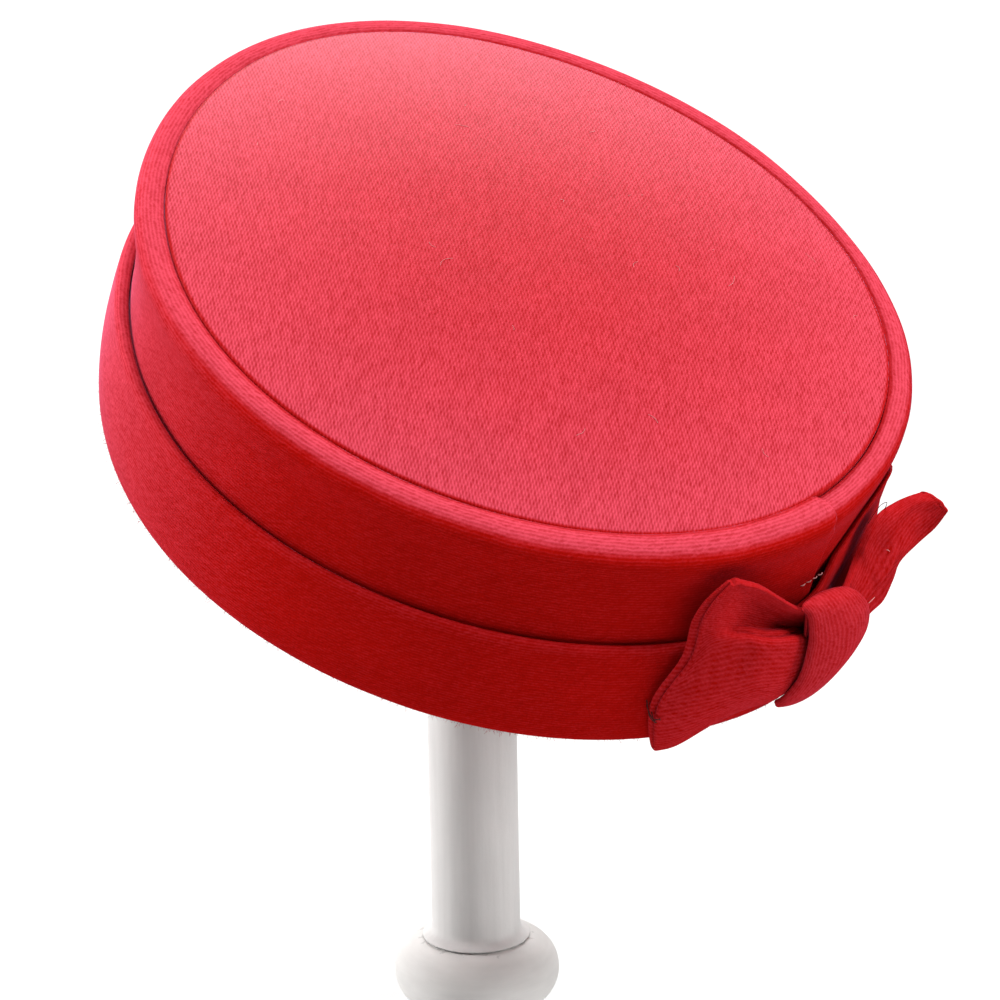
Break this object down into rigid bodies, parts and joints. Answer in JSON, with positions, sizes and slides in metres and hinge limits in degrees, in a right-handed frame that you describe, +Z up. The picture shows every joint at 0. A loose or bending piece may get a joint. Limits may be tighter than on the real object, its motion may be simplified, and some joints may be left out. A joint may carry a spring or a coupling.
{
  "type": "pillbox hat on a stand",
  "caption": "Oval pillbox hat of red cotton jersey with a domed tip, lapped side bands and a flat bow at the back, leaning on a plain turned wooden stand.",
  "frame": {"origin": "centre of the underside of the stand's base", "axes": "+Z up along the stand's post; the hat leans towards -Y and a little +X, with its bow on the low +X side"},
  "size_m": [0.2, 0.1874, 0.33],
  "materials": {
    "jersey_tip": "matte twill-faced jersey",
    "jersey_band": "matte jersey",
    "jersey_bow": "matte jersey",
    "stand_paint": "white painted",
    "collar_paint": "worn white paint"
  },
  "bodies": {
    "root": {"crown_tip": "jersey_tip", "side_band": "jersey_band", "lower_band": "jersey_band", "bow_left_wing": "jersey_bow", "bow_right_wing": "jersey_bow", "bow_knot": "jersey_bow", "stand_head": "stand_paint", "stand_post": "stand_paint", "stand_collar": "collar_paint", "stand_base": "stand_paint"}
  },
  "joints": []
}
